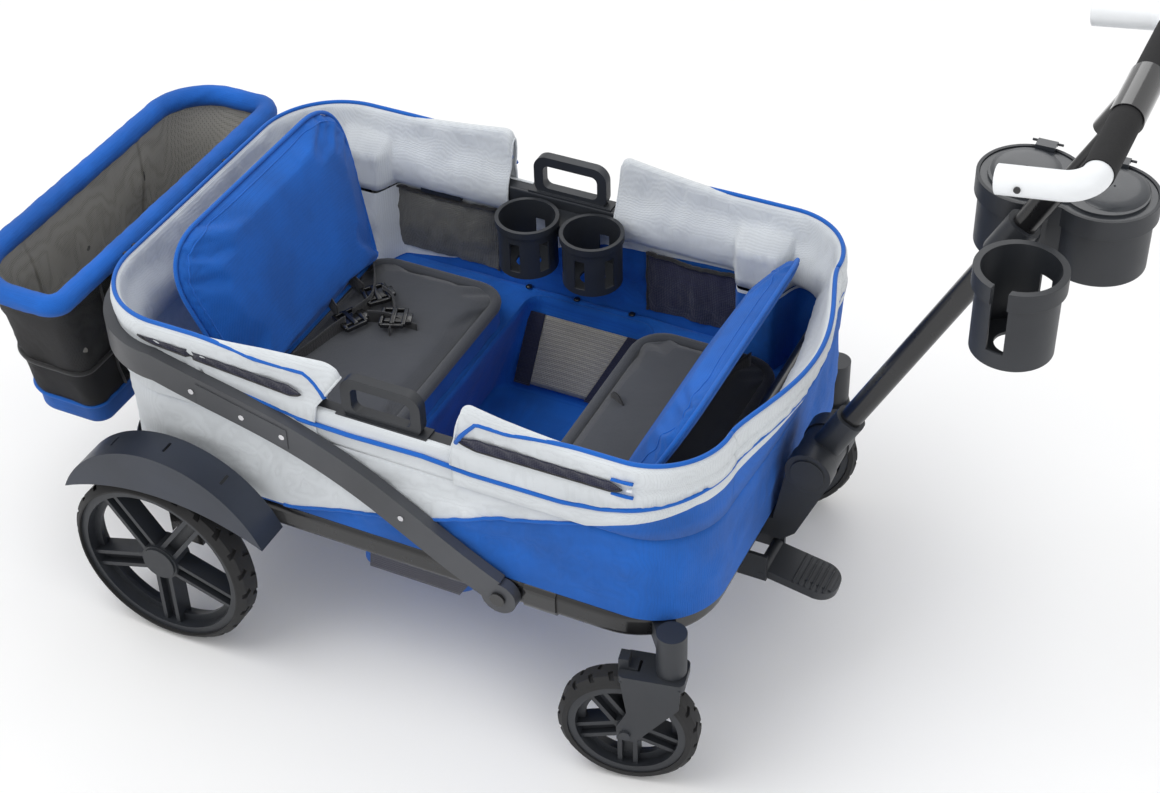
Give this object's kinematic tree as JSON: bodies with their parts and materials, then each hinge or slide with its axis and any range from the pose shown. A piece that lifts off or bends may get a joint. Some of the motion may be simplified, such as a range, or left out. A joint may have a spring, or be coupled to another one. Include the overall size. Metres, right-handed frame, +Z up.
{
  "type": "kids pull wagon",
  "caption": "Folding pull wagon with facing child seats, a footwell, a rear storage basket, swivel casters and a tilting, telescoping handle with cup holder and tray.",
  "frame": {"origin": "on the ground under the middle of the overall length and width", "axes": "+X forwards to the pull handle, +Y to the left, +Z up"},
  "size_m": [1.454, 0.691, 0.9558],
  "materials": {
    "frame_paint": "satin black powder coat",
    "link_grey": "matte mid grey",
    "charcoal_plastic": "fine moulded texture",
    "gloss_black": "gloss",
    "tyre": "moulded tread",
    "steel": "zinc plated",
    "blue_fabric": "woven polyester",
    "grey_fabric": "woven polyester",
    "charcoal_fabric": "woven polyester",
    "mesh_fabric": "open mesh",
    "foam": "soft foam",
    "pale_plastic": "satin moulded"
  },
  "bodies": {
    "base": {"base_tube": "frame_paint", "base_fittings": "charcoal_plastic", "seat_frame": "frame_paint", "rear_axle": "steel", "axle_brackets": "frame_paint", "fenders": "charcoal_plastic", "caster_housings": "charcoal_plastic", "fold_pivots": "steel", "hub_bracket": "charcoal_plastic", "pedal_bracket": "charcoal_plastic", "side_walls": "grey_fabric", "rear_wall": "grey_fabric", "front_wall": "blue_fabric", "rear_seat": "charcoal_fabric", "front_seat": "charcoal_fabric", "footwell": "blue_fabric", "footwell_board": "charcoal_plastic"},
    "brake_pedal": {"brake_pedal": "charcoal_plastic"},
    "link_frame": {"link_frame": "link_grey", "link_hardware": "steel", "basket_lugs": "charcoal_plastic"},
    "upper_frame": {"upper_rail": "frame_paint", "rail_brackets": "charcoal_plastic", "post_tubes": "frame_paint", "carry_handles": "charcoal_plastic", "child_cup_holder": "charcoal_plastic", "rear_rim": "grey_fabric", "front_rim": "grey_fabric"},
    "storage_basket": {"basket_rim": "blue_fabric", "basket_bag": "mesh_fabric"},
    "rear_back": {"rear_back": "blue_fabric"},
    "front_back": {"front_back": "blue_fabric"},
    "handle": {"handle_socket": "charcoal_plastic", "handle_lower_tube": "frame_paint", "handle_bush": "charcoal_plastic", "accessory_clamp": "charcoal_plastic", "adult_cup_holder": "charcoal_plastic", "snack_tray": "charcoal_plastic"},
    "handle_top": {"handle_inner_tube": "frame_paint", "handle_head": "gloss_black", "grip_core": "frame_paint", "foam_grips": "foam", "grip_elbows": "pale_plastic"},
    "release_button": {"release_button": "charcoal_plastic"},
    "rear_tray_lid": {"rear_tray_lid": "charcoal_plastic"},
    "front_tray_lid": {"front_tray_lid": "charcoal_plastic"},
    "left_rear_wheel": {"left_rear_wheel": "charcoal_plastic", "left_rear_tyre": "tyre"},
    "left_caster": {"left_caster_fork": "charcoal_plastic"},
    "left_caster_wheel": {"left_caster_wheel": "charcoal_plastic", "left_caster_tyre": "tyre"},
    "left_swivel_lock": {"left_swivel_lock": "charcoal_plastic"},
    "left_brake_pin": {"left_brake_pin": "steel"},
    "right_rear_wheel": {"right_rear_wheel": "charcoal_plastic", "right_rear_tyre": "tyre"},
    "right_caster": {"right_caster_fork": "charcoal_plastic"},
    "right_caster_wheel": {"right_caster_wheel": "charcoal_plastic", "right_caster_tyre": "tyre"},
    "right_swivel_lock": {"right_swivel_lock": "charcoal_plastic"},
    "right_brake_pin": {"right_brake_pin": "steel"}
  },
  "joints": [
    {"name": "frame_fold", "type": "hinge", "parent": "base", "child": "link_frame", "pos_m": [0.078, 0, 0.23], "axis": [0, -1, 0], "range_deg": [0, 15], "deforming": ["side_walls", "rear_wall", "front_wall"]},
    {"name": "upper_drop", "type": "slide", "parent": "base", "child": "upper_frame", "axis": [0, 0, -1], "range_m": [0, 0.0962]},
    {"name": "basket_level", "type": "hinge", "parent": "link_frame", "child": "storage_basket", "pos_m": [-0.542, 0, 0.46], "axis": [0, 1, 0], "range_deg": [0, 15.1]},
    {"name": "left_rear_wheel_roll", "type": "hinge", "parent": "base", "child": "left_rear_wheel", "pos_m": [-0.412, 0.31775, 0.1332], "axis": [0, 1, 0], "continuous": true},
    {"name": "left_caster_swivel", "type": "hinge", "parent": "base", "child": "left_caster", "pos_m": [0.308, 0.2835, 0.0896], "axis": [0, 0, 1], "continuous": true},
    {"name": "left_caster_roll", "type": "hinge", "parent": "left_caster", "child": "left_caster_wheel", "pos_m": [0.26094, 0.25848, 0.0896], "axis": [-0.4695, 0.8829, 0], "continuous": true},
    {"name": "left_swivel_lock_tip", "type": "hinge", "parent": "left_caster", "child": "left_swivel_lock", "pos_m": [0.27065, 0.26364, 0.1887], "axis": [-0.4695, 0.8829, 0], "range_deg": [0, 8]},
    {"name": "left_brake_pin_slide", "type": "slide", "parent": "base", "child": "left_brake_pin", "axis": [0, 1, 0], "range_m": [0, 0.0101]},
    {"name": "right_rear_wheel_roll", "type": "hinge", "parent": "base", "child": "right_rear_wheel", "pos_m": [-0.412, -0.31775, 0.1332], "axis": [0, 1, 0], "continuous": true},
    {"name": "right_caster_swivel", "type": "hinge", "parent": "base", "child": "right_caster", "pos_m": [0.308, -0.2835, 0.0896], "axis": [0, 0, 1], "continuous": true},
    {"name": "right_caster_roll", "type": "hinge", "parent": "right_caster", "child": "right_caster_wheel", "pos_m": [0.25573, -0.29394, 0.0896], "axis": [-0.1959, 0.9806, 0], "continuous": true},
    {"name": "right_swivel_lock_tip", "type": "hinge", "parent": "right_caster", "child": "right_swivel_lock", "pos_m": [0.26652, -0.29179, 0.1887], "axis": [-0.1959, 0.9806, 0], "range_deg": [0, 8]},
    {"name": "right_brake_pin_slide", "type": "slide", "parent": "base", "child": "right_brake_pin", "axis": [0, -1, 0], "range_m": [0, 0.0101]},
    {"name": "pedal_press", "type": "hinge", "parent": "base", "child": "brake_pedal", "pos_m": [0.34, -0.04, 0.182], "axis": [0, 1, 0], "range_deg": [0, 18]},
    {"name": "handle_tilt", "type": "hinge", "parent": "base", "child": "handle", "pos_m": [0.385, 0, 0.345], "axis": [0, 1, 0], "range_deg": [-18, 60]},
    {"name": "handle_telescope", "type": "slide", "parent": "handle", "child": "handle_top", "axis": [0.4664, 0, 0.8846], "range_m": [-0.08, 0]},
    {"name": "release_press", "type": "slide", "parent": "handle_top", "child": "release_button", "axis": [-0.8846, 0, 0.4664], "range_m": [0, 0.0035], "stiffness_N_per_m": 300},
    {"name": "rear_back_fold", "type": "hinge", "parent": "base", "child": "rear_back", "pos_m": [-0.35, 0, 0.3265], "axis": [0, 1, 0], "range_deg": [0, 60]},
    {"name": "front_back_fold", "type": "hinge", "parent": "base", "child": "front_back", "pos_m": [0.188, 0, 0.3255], "axis": [0, -1, 0], "range_deg": [0, 75]},
    {"name": "rear_tray_lid_open", "type": "hinge", "parent": "handle", "child": "rear_tray_lid", "pos_m": [0.581, 0.156, 0.761], "axis": [-1, 0, 0], "range_deg": [0, 75]},
    {"name": "front_tray_lid_open", "type": "hinge", "parent": "handle", "child": "front_tray_lid", "pos_m": [0.665, 0.156, 0.761], "axis": [-1, 0, 0], "range_deg": [0, 75]}
  ],
  "couplings": [
    {"joint": "upper_drop", "follows": "frame_fold", "m_per_rad": 0.36668},
    {"joint": "basket_level", "follows": "frame_fold", "ratio": 1},
    {"joint": "left_brake_pin_slide", "follows": "pedal_press", "m_per_rad": 0.031831},
    {"joint": "right_brake_pin_slide", "follows": "pedal_press", "m_per_rad": 0.031831}
  ]
}
